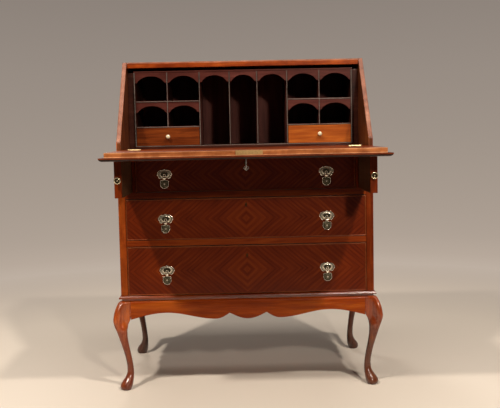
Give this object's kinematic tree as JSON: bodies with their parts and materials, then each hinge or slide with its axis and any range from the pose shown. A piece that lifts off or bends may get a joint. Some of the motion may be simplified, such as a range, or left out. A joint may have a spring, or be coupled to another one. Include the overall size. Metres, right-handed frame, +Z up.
{
  "type": "writing bureau",
  "caption": "Fall-front writing bureau in polished red-brown wood: pigeonholes and small drawers behind a sloping fall, long drawers below, on a stand with curved legs.",
  "frame": {"origin": "on the floor, under the middle of the bounding box of the bureau with its fall open", "axes": "+Z up, +X to the right of someone facing the bureau, -Y towards that person"},
  "size_m": [0.81, 0.799, 1],
  "materials": {
    "mahogany": "red-brown mahogany, French polished, glossy",
    "mahogany_veneer": "quartered straight-grain mahogany veneer, French polished",
    "inside_wood": "dark stained interior wood, thinly polished",
    "plain_wood": "plain unpolished drawer-lining wood",
    "antique_brass": "aged cast brass with worn bright edges",
    "bright_brass": "plain yellow brass, lightly aged",
    "steel": "old polished steel",
    "ivory": "pale turned bone-like knob"
  },
  "bodies": {
    "bureau": {"apron_back": "mahogany", "apron_front": "mahogany", "apron_left": "mahogany", "apron_right": "mahogany", "back_panel": "inside_wood", "base_board": "mahogany", "bed_leaf_left": "bright_brass", "bed_leaf_right": "bright_brass", "divider_inner_left": "inside_wood", "divider_inner_right": "inside_wood", "divider_outer_left": "inside_wood", "divider_outer_right": "inside_wood", "drawer_rail_lower": "mahogany", "drawer_rail_upper": "mahogany", "leg_back_left": "mahogany", "leg_back_right": "mahogany", "leg_front_left": "mahogany", "leg_front_right": "mahogany", "loper_housing_left": "mahogany", "loper_housing_right": "mahogany", "pigeonhole_case": "inside_wood", "pigeonhole_nest_left": "inside_wood", "pigeonhole_nest_right": "inside_wood", "pigeonhole_top": "inside_wood", "side_left": "mahogany", "side_right": "mahogany", "stand_top": "mahogany", "top_board": "mahogany", "writing_bed": "mahogany"},
    "fall": {"fall_board": "mahogany", "fall_lock": "bright_brass", "fall_leaf_left": "bright_brass", "fall_leaf_right": "bright_brass"},
    "key": {"fall_key": "steel"},
    "loper_left_body": {"loper_left": "mahogany", "loper_left_knob": "antique_brass"},
    "loper_right_body": {"loper_right": "mahogany", "loper_right_knob": "antique_brass"},
    "drawer_top_body": {"drawer_top_front": "mahogany_veneer", "drawer_top_box": "plain_wood", "drawer_top_plate_left": "antique_brass", "drawer_top_plate_right": "antique_brass"},
    "drawer_top_drop_left_body": {"drawer_top_drop_left": "antique_brass"},
    "drawer_top_drop_right_body": {"drawer_top_drop_right": "antique_brass"},
    "drawer_middle_body": {"drawer_middle_front": "mahogany_veneer", "drawer_middle_box": "plain_wood", "drawer_middle_plate_left": "antique_brass", "drawer_middle_plate_right": "antique_brass"},
    "drawer_middle_drop_left_body": {"drawer_middle_drop_left": "antique_brass"},
    "drawer_middle_drop_right_body": {"drawer_middle_drop_right": "antique_brass"},
    "drawer_bottom_body": {"drawer_bottom_front": "mahogany_veneer", "drawer_bottom_box": "plain_wood", "drawer_bottom_plate_left": "antique_brass", "drawer_bottom_plate_right": "antique_brass"},
    "drawer_bottom_drop_left_body": {"drawer_bottom_drop_left": "antique_brass"},
    "drawer_bottom_drop_right_body": {"drawer_bottom_drop_right": "antique_brass"},
    "small_drawer_left_body": {"small_drawer_left": "mahogany_veneer", "small_drawer_left_knob": "ivory"},
    "small_drawer_right_body": {"small_drawer_right": "mahogany_veneer", "small_drawer_right_knob": "ivory"}
  },
  "joints": [
    {"name": "fall_hinge", "type": "hinge", "parent": "bureau", "child": "fall", "pos_m": [0, -0.06478, 0.7255], "axis": [1, 0, 0], "range_deg": [-128, 0]},
    {"name": "key_turn", "type": "hinge", "parent": "fall", "child": "key", "pos_m": [0, -0.36002, 0.7025], "axis": [0, 0, 1], "range_deg": [0, 180]},
    {"name": "loper_left_slide", "type": "slide", "parent": "bureau", "child": "loper_left_body", "axis": [0, -1, 0], "range_m": [-0.215, 0]},
    {"name": "loper_right_slide", "type": "slide", "parent": "bureau", "child": "loper_right_body", "axis": [0, -1, 0], "range_m": [-0.215, 0]},
    {"name": "drawer_top_slide", "type": "slide", "parent": "bureau", "child": "drawer_top_body", "axis": [0, -1, 0], "range_m": [0, 0.27]},
    {"name": "drawer_top_drop_left_swing", "type": "hinge", "parent": "drawer_top_body", "child": "drawer_top_drop_left_body", "pos_m": [-0.241, -0.07048, 0.6409], "axis": [-1, 0, 0], "range_deg": [0, 80]},
    {"name": "drawer_top_drop_right_swing", "type": "hinge", "parent": "drawer_top_body", "child": "drawer_top_drop_right_body", "pos_m": [0.241, -0.07048, 0.6409], "axis": [-1, 0, 0], "range_deg": [0, 80]},
    {"name": "drawer_middle_slide", "type": "slide", "parent": "bureau", "child": "drawer_middle_body", "axis": [0, -1, 0], "range_m": [0, 0.3]},
    {"name": "drawer_middle_drop_left_swing", "type": "hinge", "parent": "drawer_middle_body", "child": "drawer_middle_drop_left_body", "pos_m": [-0.241, -0.07048, 0.50764], "axis": [-1, 0, 0], "range_deg": [0, 80]},
    {"name": "drawer_middle_drop_right_swing", "type": "hinge", "parent": "drawer_middle_body", "child": "drawer_middle_drop_right_body", "pos_m": [0.241, -0.07048, 0.50764], "axis": [-1, 0, 0], "range_deg": [0, 80]},
    {"name": "drawer_bottom_slide", "type": "slide", "parent": "bureau", "child": "drawer_bottom_body", "axis": [0, -1, 0], "range_m": [0, 0.3]},
    {"name": "drawer_bottom_drop_left_swing", "type": "hinge", "parent": "drawer_bottom_body", "child": "drawer_bottom_drop_left_body", "pos_m": [-0.241, -0.07048, 0.35249], "axis": [-1, 0, 0], "range_deg": [0, 80]},
    {"name": "drawer_bottom_drop_right_swing", "type": "hinge", "parent": "drawer_bottom_body", "child": "drawer_bottom_drop_right_body", "pos_m": [0.241, -0.07048, 0.35249], "axis": [-1, 0, 0], "range_deg": [0, 80]},
    {"name": "small_drawer_left_slide", "type": "slide", "parent": "bureau", "child": "small_drawer_left_body", "axis": [0, -1, 0], "range_m": [0, 0.15]},
    {"name": "small_drawer_right_slide", "type": "slide", "parent": "bureau", "child": "small_drawer_right_body", "axis": [0, -1, 0], "range_m": [0, 0.15]}
  ]
}
